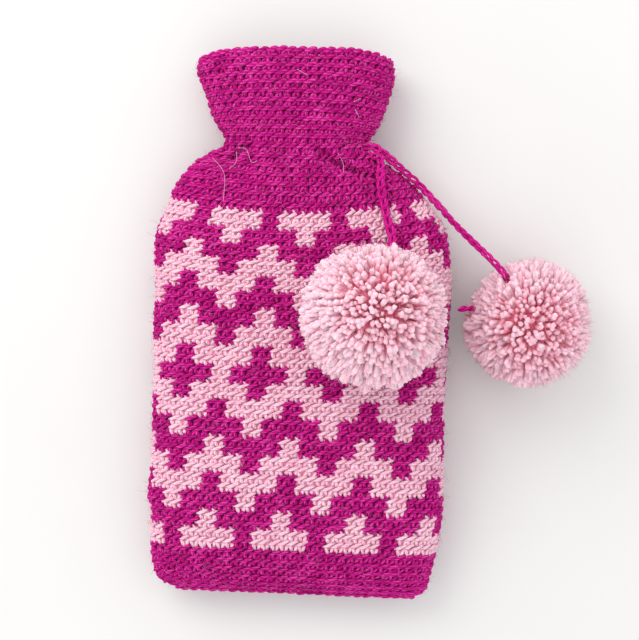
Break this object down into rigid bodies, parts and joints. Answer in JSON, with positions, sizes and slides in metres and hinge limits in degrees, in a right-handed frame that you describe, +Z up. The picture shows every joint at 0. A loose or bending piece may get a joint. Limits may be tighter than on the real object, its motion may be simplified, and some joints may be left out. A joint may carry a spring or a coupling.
{
  "type": "hot water bottle cover",
  "caption": "Crocheted two-colour cover for a hot water bottle, with a flared collar, a drawstring neck and yarn pompoms on the cord's ends.",
  "frame": {"origin": "under the middle of the cover's own box, on the surface that it lies on", "axes": "+Y from the closed base to the open collar, +X to the right of the front, +Z up out of the front"},
  "size_m": [0.2782, 0.3455, 0.1291],
  "materials": {
    "magenta_wool": "crocheted wool in magenta with pale pink blocks",
    "magenta_cord": "crocheted chain cord in magenta wool",
    "pink_wool": "cut yarn ends in pale pink wool"
  },
  "bodies": {
    "root": {"cover": "magenta_wool", "neck_drawstring": "magenta_cord", "tie_long": "magenta_cord", "tie_short": "magenta_cord", "tie_tail": "magenta_cord", "pompom_big": "pink_wool", "pompom_small": "pink_wool"}
  },
  "joints": []
}
